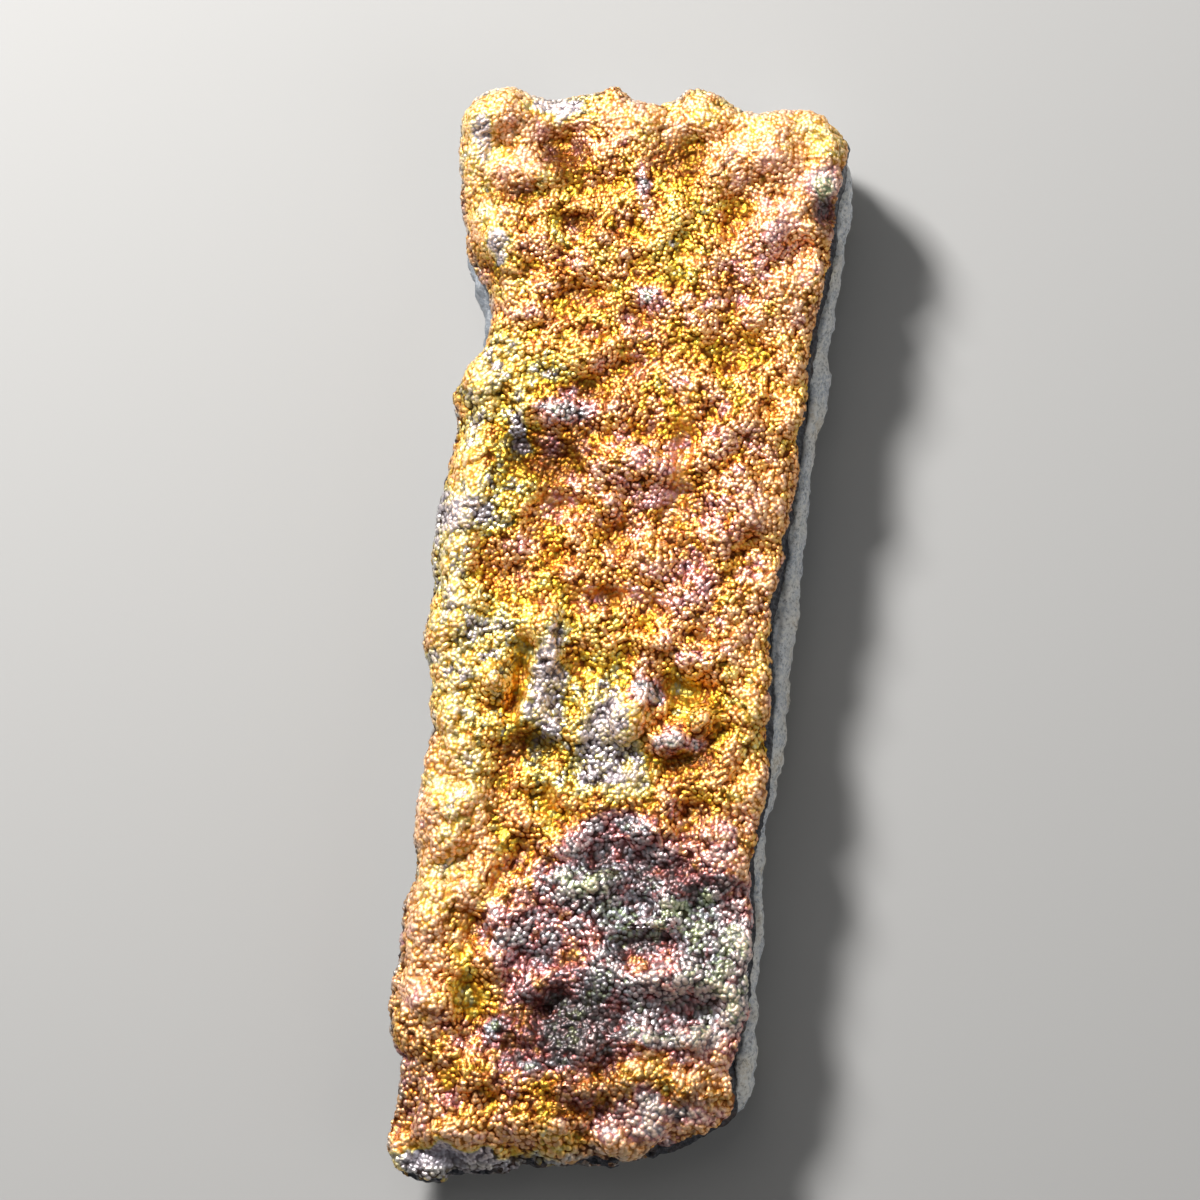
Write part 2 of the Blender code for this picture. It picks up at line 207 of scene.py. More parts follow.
# %% Say where the wall is broken
LEFT_RIM, LEFT_BLEND = -14, 3  # mm across the slab
END_RIMS, END_BLEND, ENDS_MIDDLE = 52, 4, -2  # mm along the slab
ENDS_STOP, STOP_BLEND = 14, 4  # mm across the slab
ROLLED_SHARE = 0.25
JAG_WIDTH, JAG_SHARE = 1.1 * MM, 0.22
WALL_STARTS, WALL_ENDS = 0.74, 0.90


def rolled_rim(points):
    """1 on the left, top and bottom rims, where the beads roll over the edge, and 0 elsewhere."""
    across, along = slab_coordinates(points)[:, :2].T
    left = np.clip((LEFT_RIM - across) / LEFT_BLEND, 0, 1)
    ends = np.clip((np.abs(along - ENDS_MIDDLE) - END_RIMS) / END_BLEND, 0, 1)
    return np.maximum(left, ends * np.clip((ENDS_STOP - across) / STOP_BLEND, 0, 1))


smooth_places = mesh_array(crust_mesh, "co")
places = [Vector(point.tolist()) for point in smooth_places]
jagged = np.array([noise.noise(place / JAG_WIDTH) for place in places])
ring_share = attribute_array(crust_mesh, "broken")
on_wall = ring_share > 0.1
ring_share = ring_share * (1 - ROLLED_SHARE * rolled_rim(smooth_places)) + JAG_SHARE * jagged * on_wall
store_attribute(crust_mesh, "broken", ring_share)
wall_share = np.clip((ring_share - WALL_STARTS) / (WALL_ENDS - WALL_STARTS), 0, 1)
print("points on the broken wall:", int((wall_share > 0.5).sum()))

# %% Push the face into lumps
def pushed_along(mesh, pushes):
    """The mesh's points moved along their normals, and the mesh updated."""
    moved = mesh_array(mesh, "co") + mesh_array(mesh, "normal") * np.array(pushes)[:, None]
    mesh.vertices.foreach_set("co", moved.astype(np.float32).ravel())
    mesh.update()
    return moved


lumpy = pushed_along(crust_mesh, [
    share * wall_push(place) + (1 - share) * lump_push(place) for place, share in zip(places, wall_share)
])
print("lumps rise up to", round(lumpy[:, 2].max() / MM, 2), "mm")

# %% [markdown]
# The beads are about 0.4 mm wide at the slab's top end and 0.6 mm at its bottom end, and they sit in
# clusters like the florets of a cauliflower. One rule covers both ends: along the slab, the places are
# stretched by a logarithm, which makes every bead one unit wide. A little noise bends the places, so
# the beads aren't perfectly round. The bent places stay on the points, since the skin reads them too.

# %% Measure the crust in beads
BEAD_TOP_END, BEAD_BOTTOM_END = 0.42 * MM, 0.58 * MM
BEAD_GROWTH = (BEAD_BOTTOM_END - BEAD_TOP_END) / (2 * HALF_SLAB)
BEND = 0.16  # of a bead's width


def in_bead_widths(points):
    """Places in a space where every bead is one unit wide, and the width of a bead at each point."""
    width = BEAD_TOP_END + BEAD_GROWTH * (HALF_SLAB - points[:, 1])
    even = np.column_stack((points[:, 0] / width, -np.log(width) / BEAD_GROWTH, points[:, 2] / width))
    bends = np.array([noise.noise_vector(Vector(place)) for place in even.tolist()])
    return even + BEND * bends, width


bead_places, bead_width = in_bead_widths(lumpy.astype(float))
bead_layer = crust_mesh.attributes.new("bead_place", "FLOAT_VECTOR", "POINT")
bead_layer.data.foreach_set("vector", bead_places.astype(np.float32).ravel())
print("a bead is", round(bead_width.min() / MM, 2), "to", round(bead_width.max() / MM, 2), "mm wide")

# %% [markdown]
# A cluster is a ball on a seed, and no two seeds are closer than most of a cluster's width. So we try the
# points in a shuffled order and keep those that have room. The crust's face is the outside of all
# the balls together, so neighbours meet in a sharp crease, as grown clusters do.

# %% Grow the clusters
CLUSTER_BEADS = 3.4  # the width of a cluster in beads
CLUSTER_ROOM = 0.70  # between two seeds, in cluster widths
CLUSTER_SMALLEST, CLUSTER_LARGEST = 0.52, 0.80  # radius of a ball, in cluster widths
CREASE_HEIGHT = 0.15  # where a ball's own share starts
BALLS_NEAR = 4
NEIGHBOURS = [(i, j, k) for i in (0, -1, 1) for j in (0, -1, 1) for k in (0, -1, 1)]


def spread(places, room):
    """Some of the places, none closer to another than room."""
    kept = {}
    for index in np.random.default_rng(7).permutation(len(places)):
        x, y, z = places[index]
        cell = (int(x // room), int(y // room), int(z // room))
        near = (kept.get((cell[0] + i, cell[1] + j, cell[2] + k)) for i, j, k in NEIGHBOURS)
        if all(other is None or math.dist(other, (x, y, z)) > room for other in near):
            kept[cell] = (x, y, z)
    return list(kept.values())


def grown_balls(places, seeds):
    """Heights on balls about one unit wide, the share of each ball's own height, and its chance value."""
    tree = KDTree(len(seeds))
    for number, seed in enumerate(seeds):
        tree.insert(seed, number)
    tree.balance()
    nearest = np.array([[found[1:] for found in tree.find_n(place, BALLS_NEAR)] for place in places])
    numbers = nearest[:, :, 0].astype(int)
    chance = np.random.default_rng(11).random(len(seeds))
    radius = CLUSTER_SMALLEST + (CLUSTER_LARGEST - CLUSTER_SMALLEST) * chance[numbers]
    heights = np.sqrt(np.maximum(radius ** 2 - nearest[:, :, 1] ** 2, 0))
    owner = (np.arange(len(places)), heights.argmax(1))
    share = np.clip((heights[owner] - CREASE_HEIGHT) / (radius[owner] - CREASE_HEIGHT), 0, 1)
    return heights[owner], share, chance[numbers[owner]]


cluster_places = (bead_places / CLUSTER_BEADS).tolist()
tried = cluster_places[::4]  # every fourth point is near enough
cluster_seeds = spread(tried, CLUSTER_ROOM)
cluster_height, cluster_top, cluster_chance = grown_balls(cluster_places, cluster_seeds)
print(len(cluster_seeds), "clusters, mean height", round(cluster_height.mean(), 2))

# %% [markdown]
# The beads come from a Voronoi texture: each is a dome over a seed of the pattern. A few lines of
# geometry nodes read the texture on every point, and the points rise by it. The skin's material will
# read the same texture at the same places, so its creases and its bump fall exactly on these beads
# and stay sharp where the mesh can't be fine enough.

# %% Read the bead pattern with geometry nodes
BEAD_CHANCE = 0.95  # how unevenly the beads lie
BEAD_REACH = 0.70  # from a bead's top to where its dome ends, in bead widths


def set_bead_pattern(pattern):
    """The one setting of the Voronoi texture that the mesh and the skin share."""
    pattern.voronoi_dimensions = "3D"
    pattern.feature = "F1"
    pattern.inputs["Scale"].default_value = 1.0
    pattern.inputs["Randomness"].default_value = BEAD_CHANCE


def bead_distances(mesh):
    """How far every point is from the nearest seed of a bead."""
    group = bpy.data.node_groups.new("read_beads", "GeometryNodeTree")
    group.interface.new_socket("Geometry", in_out="INPUT", socket_type="NodeSocketGeometry")
    group.interface.new_socket("Geometry", in_out="OUTPUT", socket_type="NodeSocketGeometry")
    nodes, join = group.nodes, group.links.new
    place = nodes.new("GeometryNodeInputNamedAttribute")
    place.data_type = "FLOAT_VECTOR"
    place.inputs["Name"].default_value = "bead_place"
    pattern = nodes.new("ShaderNodeTexVoronoi")
    set_bead_pattern(pattern)
    keep = nodes.new("GeometryNodeStoreNamedAttribute")
    keep.inputs["Name"].default_value = "bead_distance"
    join(place.outputs["Attribute"], pattern.inputs["Vector"])
    join(pattern.outputs["Distance"], keep.inputs["Value"])
    join(nodes.new("NodeGroupInput").outputs["Geometry"], keep.inputs["Geometry"])
    join(keep.outputs["Geometry"], nodes.new("NodeGroupOutput").inputs["Geometry"])
    carrier = link("bead_carrier", mesh)
    carrier.modifiers.new("beads", "NODES").node_group = group
    evaluated = carrier.evaluated_get(bpy.context.evaluated_depsgraph_get())
    distances = attribute_array(evaluated.data, "bead_distance")
    bpy.data.objects.remove(carrier)
    bpy.data.node_groups.remove(group)
    return distances


bead_top = np.clip(1 - (bead_distances(crust_mesh) / BEAD_REACH) ** 2, 0, 1)
print("mean height on a bead:", round(float(bead_top.mean()), 2))

# %% [markdown]
# Clusters and beads are measured in bead widths, so they grow together towards the bottom end. A few
# narrow valleys are smoother than the rest, and the broken wall has no beads at all. At the end, the
# highest lumps are eased down under a soft limit, so that the slab stays as thick as the frame says.

# %% Push the lumps into clusters and beads
CLUSTER_DEPTH, BEAD_DEPTH = 0.36, 0.38
BEAD_LEVEL = 0.55  # the height on a bead that stays where the lump was
PATCH_FADE = 1.6  # a place fades to nothing this far from its middle, where its edge is at 1
SMOOTH_LEFT = 0.7  # share of the relief that stays in the smooth places
# across, along, half width, half length in mm
SMOOTH_PLACES = [
    (5.6, 20.0, 1.2, 7.0), (-9.3, -6.0, 0.9, 8.0), (8.2, -6.6, 2.2, 1.5), (-4.6, -19.0, 0.8, 3.4),
    (-7.6, 13.2, 3.2, 0.7), (1.0, 3.6, 6.0, 0.6), (-12.4, -38.0, 0.8, 5.5), (-9.4, -29.0, 0.8, 5.0),
    (1.0, 54.0, 1.4, 1.4), (-13.5, -59.6, 6.0, 1.4), (-10.6, -42.0, 1.0, 1.6),
]


def reach_of(points, across, along, half_width, half_length):
    """0 in the middle of a place, 1 on its edge, and more beyond it."""
    return np.sqrt(((points[:, 0] - across) / half_width) ** 2 + ((points[:, 1] - along) / half_length) ** 2)


def smoothness(points):
    """1 in the middle of a smooth valley, 0 away from them all."""
    slab = slab_coordinates(points)
    smooth = np.zeros(len(points))
    for place in SMOOTH_PLACES:
        smooth = np.maximum(smooth, np.clip(PATCH_FADE - reach_of(slab, *place) ** 2, 0, 1))
    return smooth


beaded = (1 - wall_share) * (1 - (1 - SMOOTH_LEFT) * smoothness(lumpy))
rise = CLUSTER_DEPTH * CLUSTER_BEADS * (cluster_height - cluster_height.mean())
rise += BEAD_DEPTH * (bead_top - BEAD_LEVEL)
pushed = pushed_along(crust_mesh, bead_width * rise * beaded)
cluster_top = cluster_top.mean() + (cluster_top - cluster_top.mean()) * beaded

# %% Ease the highest lumps down
TOP_LIMIT = cad_high.z + 0.25 * MM
SOFT_DEPTH = 1.2 * MM
SOFT_FROM = TOP_LIMIT - SOFT_DEPTH
over = np.maximum(pushed[:, 2] - SOFT_FROM, 0) / SOFT_DEPTH
pushed[:, 2] = np.where(over > 0, SOFT_FROM + SOFT_DEPTH * np.tanh(over), pushed[:, 2])
crust_mesh.vertices.foreach_set("co", pushed.astype(np.float32).ravel())
crust_mesh.update()
print("highest bead at", round(pushed[:, 2].max() / MM, 2), "mm")

# %% [markdown]
# The film's colour follows its thickness, and the thickness changes over the slab. We keep it as one
# number on each point, film. It runs from silver through yellow, gold, amber, pink and lilac to green,
# the order that a growing film runs through, so two neighbours always blend through the right colours.
# Silver lies just under 0, where the ramp starts, so that a nearly bare place stays silver.

# %% The colours of the film, in their order
FILM = {
    "silver": -0.10, "lime": 0.12, "yellow": 0.20, "gold": 0.29, "amber": 0.38, "copper": 0.46,
    "pink": 0.53, "magenta": 0.61, "lilac": 0.70, "steel": 0.80, "green": 0.92,
}
FILM_COLOURS = {
    "silver": (0.64, 0.62, 0.71), "lime": (0.80, 0.74, 0.28), "yellow": (0.97, 0.69, 0.06),
    "gold": (0.94, 0.54, 0.06), "amber": (0.90, 0.42, 0.06), "copper": (0.88, 0.49, 0.18),
    "pink": (0.92, 0.51, 0.36), "magenta": (0.81, 0.39, 0.42), "lilac": (0.64, 0.53, 0.57),
    "steel": (0.47, 0.49, 0.56), "green": (0.52, 0.64, 0.42),
}
# across, along, half width, half length in mm, colour, strength: later ones lie over earlier ones
FILM_PATCHES = [
    (13.0, 52.5, 6.0, 5.0, "copper", 0.6), (-8.5, 52.0, 4.2, 3.0, "copper", 0.6),
    (2.5, 43.5, 4.4, 5.4, "yellow", 0.7), (13.0, 41.0, 5.5, 7.0, "copper", 0.7),
    (14.0, 26.0, 4.5, 4.0, "amber", 0.5), (-15.0, 28.5, 4.5, 3.0, "lime", 0.6),
    (-17.5, 21.0, 2.6, 5.0, "silver", 0.35), (-10.0, 27.0, 5.0, 2.0, "lime", 0.6),
    (0.6, 16.5, 4.4, 4.0, "pink", 0.7), (12.0, 14.0, 5.5, 7.0, "copper", 0.6),
    (-17.5, 9.5, 4.2, 3.8, "silver", 0.95), (-12.0, 6.4, 4.0, 2.2, "lilac", 0.8),
    (-3.0, 6.5, 5.0, 3.0, "amber", 0.7), (6.0, 4.0, 4.0, 3.6, "pink", 0.55),
    (-15.5, -5.0, 4.8, 12.0, "lime", 0.8), (-6.3, -7.5, 2.2, 6.0, "silver", 0.9),
    (-10.0, -20.0, 5.0, 4.0, "gold", 0.7), (2.2, -13.5, 4.6, 7.0, "silver", 0.9),
    (12.5, -13.5, 5.0, 7.0, "gold", 0.8), (2.5, -24.0, 6.5, 4.0, "lilac", 0.8),
    (0.5, -29.0, 4.6, 2.4, "steel", 0.8), (13.0, -22.0, 5.0, 2.4, "pink", 0.5),
    (12.0, -36.5, 9.0, 9.5, "steel", 1.0), (-5.5, -35.0, 4.6, 4.2, "lilac", 0.8),
    (-16.0, -27.0, 4.2, 8.0, "lime", 0.65), (-15.5, -44.0, 4.4, 8.0, "copper", 0.5),
    (1.0, -44.5, 5.0, 4.0, "steel", 0.7), (2.0, -55.5, 7.0, 2.6, "amber", 0.6),
    (-13.0, -56.0, 6.0, 4.6, "copper", 0.6), (10.5, -48.5, 6.5, 2.6, "lime", 0.5),
    (-13.5, 56.0, 2.2, 2.4, "steel", 0.7), (-2.0, 48.5, 0.9, 1.8, "steel", 0.6),
    (13.5, 44.0, 1.9, 1.9, "magenta", 0.5), (18.0, 50.6, 1.4, 2.6, "green", 0.9),
    (17.4, 55.5, 2.2, 2.2, "yellow", 0.8), (-17.0, 40.5, 1.2, 1.2, "silver", 0.7),
    (0.2, 36.2, 1.1, 1.1, "steel", 0.7), (-13.5, 33.0, 2.4, 1.6, "pink", 0.6),
    (-8.0, 23.4, 2.8, 1.6, "steel", 0.7), (-12.5, 21.0, 1.5, 3.4, "silver", 0.7),
    (2.2, 12.0, 1.6, 1.6, "copper", 0.7), (7.4, 4.4, 2.2, 2.8, "pink", 0.9),
    (1.6, 17.6, 1.8, 1.8, "pink", 0.9), (12.0, 22.5, 2.4, 1.6, "lilac", 0.4),
    (-11.3, -7.0, 1.7, 2.2, "lime", 0.7), (-9.4, -9.0, 1.0, 8.0, "gold", 0.6),
    (-4.7, -19.4, 1.5, 4.4, "yellow", 0.9), (8.2, -6.4, 3.4, 2.8, "yellow", 0.9),
    (4.6, -6.4, 1.6, 2.0, "lilac", 0.8), (8.0, -11.8, 2.2, 1.2, "lilac", 0.7),
    (9.4, -2.2, 4.2, 1.8, "pink", 0.7), (12.0, 30.0, 4.0, 4.0, "gold", 0.6),
    (-15.0, -16.0, 2.4, 2.4, "lime", 0.5),
    (2.8, -31.8, 2.0, 1.2, "green", 0.5), (3.2, -38.5, 2.4, 1.8, "green", 0.4),
    (-8.6, -33.0, 1.6, 1.6, "magenta", 0.5), (-12.4, -36.0, 1.3, 6.0, "gold", 0.6),
    (-10.6, -42.6, 1.8, 2.6, "yellow", 1.0), (-7.4, -45.4, 1.8, 1.7, "green", 0.6),
    (-2.0, -48.2, 2.6, 1.6, "green", 0.5), (7.2, -36.4, 2.8, 1.6, "pink", 0.8),
    (12.5, -41.6, 5.0, 2.4, "lilac", 0.5), (12.5, -51.6, 4.6, 1.3, "green", 0.5),
    (8.5, -54.0, 4.0, 1.5, "lilac", 0.6), (0.6, -56.6, 2.4, 1.2, "yellow", 0.6),
    (-17.5, -35.0, 1.8, 3.0, "magenta", 0.3), (-6.0, -57.4, 3.6, 1.4, "pink", 0.5),
    (-9.5, -60.0, 9.0, 1.5, "silver", 0.9), (-13.0, 56.6, 2.8, 1.7, "silver", 0.9),
    (-21.0, 52.5, 1.5, 3.0, "silver", 0.7), (-20.0, -34.0, 1.5, 11.0, "magenta", 0.4),
    (-17.4, -24.0, 1.6, 3.0, "pink", 0.6), (-13.5, -30.0, 1.4, 2.4, "pink", 0.5),
]
# across, along, half width, half length in mm, strength: places with more of the pale painted highlight
HIGHLIGHT_PATCHES = [
    (-17.0, 52.5, 5.5, 8.0, 1.1), (13.0, 53.0, 7.0, 6.5, 1.1), (0.0, 55.0, 6.0, 3.5, 0.8),
    (-16.0, -26.0, 5.0, 9.0, 1.2), (-18.0, -38.0, 3.0, 8.0, 0.6), (2.6, -13.0, 4.2, 6.0, 0.6),
    (-15.0, -6.0, 4.5, 9.0, 0.2), (-6.3, -6.0, 2.5, 6.0, 0.5),
    (10.0, -50.0, 9.0, 6.0, 0.7), (13.0, -41.0, 5.0, 3.0, 0.6), (13.0, 42.0, 5.0, 6.0, 0.3),
]
# across, along, half width, half length in mm, strength: shaded hollows, where painted shade makes the crust
# dark brown
SHADED_HOLLOWS = [
    (-11.0, 50.2, 3.4, 1.5, 0.9), (-16.6, 46.6, 3.0, 1.0, 0.8), (-9.4, 44.0, 4.2, 0.9, 0.5),
    (-17.6, 38.2, 2.6, 1.3, 0.8), (18.4, 47.4, 2.2, 1.1, 1.0), (-10.0, 18.0, 5.0, 2.4, 1.0),
    (-4.5, 25.6, 4.0, 0.8, 0.5), (-2.0, 3.4, 5.0, 0.7, 0.3), (-8.0, -13.6, 3.0, 1.8, 0.9),
    (9.8, -14.2, 3.2, 1.2, 0.9), (-13.6, -18.4, 3.6, 0.9, 0.4), (10.0, -26.8, 6.2, 1.5, 0.95),
    (6.8, -34.6, 3.4, 1.1, 0.7), (16.6, -34.8, 1.8, 1.0, 0.5), (-0.6, -43.8, 6.2, 5.2, 1.0),
    (1.4, 52.4, 2.2, 2.6, 0.5), (-15.5, -50.5, 4.0, 4.5, 0.35),
    (14.6, -40.0, 4.0, 0.8, 0.3), (3.0, -51.6, 4.6, 1.8, 0.8), (11.5, -49.4, 5.6, 1.3, 0.6),
    (-9.0, -50.0, 2.6, 2.0, 0.4), (13.0, -9.6, 3.4, 0.7, 0.5), (4.0, -19.6, 5.0, 0.7, 0.5),
    (9.6, -45.6, 5.0, 0.8, 0.5), (3.0, -27.0, 3.6, 1.1, 0.6), (9.0, -22.4, 4.6, 0.9, 0.5),
    (-3.4, -40.2, 2.4, 1.4, 0.7), (4.6, -48.2, 3.0, 1.4, 0.8), (-12.8, 15.4, 2.0, 1.0, 0.7),
]
print(len(FILM_PATCHES), "patches of colour")

# %% [markdown]
# The colours also follow the relief: low places get painted shade and are browner, high ones get a
# painted highlight and are paler. Depth says how far a point lies above the slab around it, or with a
# minus sign below it. We blur the heights, as seen from above, and compare.

# %% Compare every height with its surroundings
DEPTH_REACH = 3.0 * MM
DEPTH_SCALE = 1.0 * MM
CELLS_IN_REACH = 5
BLUR_CELLS, BLUR_ROUNDS = 3, 3


def box_blur(grid, reach):
    """The sums over a square of cells round every cell."""
    padded = np.pad(grid, reach)
    steps = range(-reach, reach + 1)
    rows = sum(np.roll(padded, step, 0) for step in steps)
    return sum(np.roll(rows, step, 1) for step in steps)[reach:-reach, reach:-reach]


def surroundings(points, values, reach):
    """The mean of a value round every point, as seen from above."""
    cell = reach / CELLS_IN_REACH
    column, row = ((points[:, :2] - points[:, :2].min(0)) / cell).astype(int).T
    total = np.zeros((column.max() + 1, row.max() + 1))
    count = total.copy()
    np.add.at(total, (column, row), values)
    np.add.at(count, (column, row), 1)
    for _ in range(BLUR_ROUNDS):
        total, count = box_blur(total, BLUR_CELLS), box_blur(count, BLUR_CELLS)
    return (total / np.maximum(count, 1))[column, row]


heights = lumpy[:, 2].astype(float)
depth = (heights - surroundings(lumpy, heights, DEPTH_REACH)) / DEPTH_SCALE
print("depth from", round(depth.min(), 2), "to", round(depth.max(), 2))

# %% [markdown]
# The film is a mean value with a mottle, and the patches lie over it. Noise bends the places before the
# patches are read, so that no patch has a smooth outline. We read all of it at one height, as if the
# colours were poured from above, and they run down the sides.

# %% Lay the film's patches
FILM_MEAN = 0.36
PATCH_CORE = 1.45  # over 1, so that the middle of a patch has its full colour
PATCH_EDGE = 4  # the higher this is, the sharper is a patch's edge
PATCH_MOTTLE = 0.4  # share of the mottle that is left in a patch
MOTTLES = [(4.5, 0.18), (1.8, 0.20)]  # width in mm, and how far it shifts the film
BENDS = [(3.5, 1.6), (1.2, 0.8)]  # width, and how far it moves a patch's edge, in mm
# LOW_FILM turns the film towards amber in low places, a painted shade
LOW_FILM, CLUSTER_FILM = 0.05, 0.18  # shift of the film in low places, and between clusters
READ_AT = 3.0  # mm, the height at which all the noise is read


def film_at(bent, mottle, depth):
    """The film's number at each point: the mottle, the depth and the patches."""
    film = FILM_MEAN + mottle + LOW_FILM * np.clip(-depth, -1, 1)
    for *place, colour, strength in FILM_PATCHES:
        share = np.minimum(1, PATCH_CORE * strength / (1 + reach_of(bent, *place) ** PATCH_EDGE))
        film += share * (FILM[colour] + PATCH_MOTTLE * mottle - film)
    return film


read_places = [Vector((across, along, READ_AT)) for across, along, _ in slab_coordinates(pushed)]
mottle = np.array([
    sum(shift * noise.noise(place / width) for width, shift in MOTTLES) for place in read_places
])
bent = np.array([
    sum((reach * noise.noise_vector(place / width) for width, reach in BENDS), place) for place in read_places
])
film = film_at(bent, mottle, depth) + CLUSTER_FILM * (cluster_chance - 0.5)
store_attribute(crust_mesh, "film", film)
print("film from", round(film.min(), 2), "to", round(film.max(), 2))

# %% [markdown]
# The pale, pinkish colour on the tops of lumps and clusters is a painted highlight. Hollow says where
# painted shade makes the crust brown, in low places and in the shaded hollows of the list. Rim says
# where the beads that roll over the edge get a grey painted sheen.

# %% Work out the painted highlight, the painted shade and the rim's sheen
LOW_PLACE_SHADE = 0.7
HIGHLIGHT_ON_TOPS, HIGHLIGHT_ON_HEIGHTS, HIGHLIGHT_BY_CHANCE = 0.9, 0.45, 0.5
HIGHLIGHT_LOSS, HIGHLIGHT_MOST = 0.32, 1.6
RIM_FROM, RIM_BLEND = 0.14, 0.30  # share of broken stone at a point


def strength_at(bent, patches):
    """The strength of the strongest patch at each point, 0 away from them all."""
    strength = np.zeros(len(bent))
    for *place, peak in patches:
        strength = np.maximum(strength, peak * np.clip(PATCH_FADE - reach_of(bent, *place), 0, 1))
    return strength


# Painted shade: the crust goes brown in low places and in the shaded hollows of the list
hollow_shade = np.clip(LOW_PLACE_SHADE * np.clip(-depth, 0, 1) + strength_at(bent, SHADED_HOLLOWS), 0, 1)
# Painted highlight: paler on the tops of clusters and on high places, less in the shaded hollows
highlight = HIGHLIGHT_ON_TOPS * cluster_top + HIGHLIGHT_ON_HEIGHTS * depth + HIGHLIGHT_BY_CHANCE * (cluster_chance - 0.5)
highlight += strength_at(bent, HIGHLIGHT_PATCHES) - hollow_shade - HIGHLIGHT_LOSS
rim = np.clip((ring_share - RIM_FROM) / RIM_BLEND, 0, 1) * rolled_rim(pushed)
store_attribute(crust_mesh, "highlight", np.clip(highlight, 0, HIGHLIGHT_MOST))
store_attribute(crust_mesh, "hollow_shade", hollow_shade)
store_attribute(crust_mesh, "rim", rim)
store_attribute(crust_mesh, "beaded", beaded)
store_attribute(crust_mesh, "cluster_top", cluster_top)
print("share of points with bloom:", round(float((highlight > 0).mean()), 2))

# %% [markdown]
# Now the skin's material. The film reflects light as metal does, but with a colour, so the shader is
# nearly all Metallic. The colour comes from the film number through a ramp in the film's order. On a
# bead's flanks the colour is taken twice and made browner, as painted light reflected from bead to bead
# and painted shade. A pale painted highlight makes the tops paler, where they are also rougher, and
# painted shade turns the hollows and creases a deep brown.

# %% Small helpers for shader nodes
def new_material(name):
    """A material with its Principled shader and its Object coordinates."""
    material = bpy.data.materials.new(name)
    material.use_nodes = True
    nodes = material.node_tree.nodes
    coordinates = nodes.new("ShaderNodeTexCoord")
    return material, nodes, material.node_tree.links.new, nodes["Principled BSDF"], coordinates


def noise_texture(nodes, join, coordinates, size, detail=3.0, roughness=0.55):
    """A noise whose features are about size metres wide."""
    texture = nodes.new("ShaderNodeTexNoise")
    texture.inputs["Scale"].default_value = 1 / size
    texture.inputs["Detail"].default_value = detail
    texture.inputs["Roughness"].default_value = roughness
    join(coordinates.outputs["Object"], texture.inputs["Vector"])
    return texture.outputs["Fac"]


def stored(nodes, name):
    """Reads a number that the points carry."""
    node = nodes.new("ShaderNodeAttribute")
    node.attribute_name = name
    return node.outputs["Fac"]


def maths(nodes, join, kind, first, second, clamp=False):
    """One Math node. Each of the two values is an output or a plain number."""
    node = nodes.new("ShaderNodeMath")
    node.operation = kind
    node.use_clamp = clamp
    for socket, value in zip(node.inputs, (first, second)):
        if isinstance(value, (int, float)):
            socket.default_value = value
        else:
            join(value, socket)
    return node.outputs[0]


def rescale(nodes, join, value, from_low, from_high, to_low, to_high):
    """A Map Range node."""
    node = nodes.new("ShaderNodeMapRange")
    join(value, node.inputs["Value"])
    for socket, number in zip(list(node.inputs)[1:5], (from_low, from_high, to_low, to_high)):
        socket.default_value = number
    return node.outputs["Result"]


def mix_colours(nodes, join, share, first, second, blend="MIX"):
    """One Mix node for colours. A colour is an output or a plain one."""
    node = nodes.new("ShaderNodeMix")
    node.data_type = "RGBA"
    node.blend_type = blend
    if isinstance(share, (int, float)):
        node.inputs["Factor"].default_value = share
    else:
        join(share, node.inputs["Factor"])
    for name, colour in (("A", first), ("B", second)):
        socket = next(s for s in node.inputs if s.name == name and s.type == "RGBA")
        if isinstance(colour, tuple):
            socket.default_value = (*colour, 1.0)
        else:
            join(colour, socket)
    return next(s for s in node.outputs if s.type == "RGBA")


def colour_ramp(nodes, join, value, stops):
    """A ramp through (place, colour) stops."""
    node = nodes.new("ShaderNodeValToRGB")
    join(value, node.inputs["Fac"])
    ramp = node.color_ramp
    for index, (place, colour) in enumerate(stops):
        stop = ramp.elements[index] if index < 2 else ramp.elements.new(place)
        stop.position = place
        stop.color = (*colour, 1.0)
    return node.outputs["Color"]


def bump(nodes, join, shader, height, distance, strength):
    """A Bump node on the shader's normal."""
    node = nodes.new("ShaderNodeBump")
    node.inputs["Distance"].default_value = distance
    node.inputs["Strength"].default_value = strength
    join(height, node.inputs["Height"])
    join(node.outputs["Normal"], shader.inputs["Normal"])


# %% The film's colour on every bead
SPECKLE_WIDTH, SPECKLE_SPREAD = 0.9 * MM, 0.04
BEAD_FILM_SPREAD = 0.07  # from one bead to the next


def read_beads(nodes, join):
    """How far a point lies over its bead's level, as on the mesh, and the bead's chance value."""
    pattern = nodes.new("ShaderNodeTexVoronoi")
    set_bead_pattern(pattern)
    place = nodes.new("ShaderNodeAttribute")
    place.attribute_name = "bead_place"
    join(place.outputs["Vector"], pattern.inputs["Vector"])
    of_bead = nodes.new("ShaderNodeSeparateColor")
    join(pattern.outputs["Color"], of_bead.inputs["Color"])
    away = maths(nodes, join, "DIVIDE", pattern.outputs["Distance"], BEAD_REACH)
    top = maths(nodes, join, "SUBTRACT", 1.0, maths(nodes, join, "MULTIPLY", away, away), clamp=True)
    above = maths(nodes, join, "SUBTRACT", top, BEAD_LEVEL)
    above = maths(nodes, join, "MULTIPLY", above, stored(nodes, "beaded"))
    return above, of_bead.outputs["Red"]


